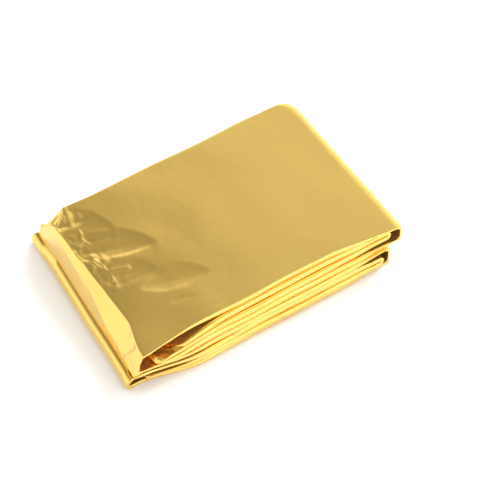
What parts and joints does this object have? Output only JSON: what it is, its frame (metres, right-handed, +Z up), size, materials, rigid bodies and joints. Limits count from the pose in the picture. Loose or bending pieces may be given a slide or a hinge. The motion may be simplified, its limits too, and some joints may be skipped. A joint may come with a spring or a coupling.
{
  "type": "emergency foil blanket",
  "caption": "Gold foil rescue blanket folded back and forth into a flat rectangular pack, its folded edges open along one long side.",
  "frame": {"origin": "on the surface it rests on, under the middle of the pack", "axes": "+X along the long side, towards the end with two separate noses; -Y towards the open long side where the folds show; +Z up"},
  "size_m": [0.1292, 0.0918, 0.0249],
  "materials": {
    "gold_foil": "polished"
  },
  "bodies": {
    "root": {"foil_blanket": "gold_foil"}
  },
  "joints": []
}
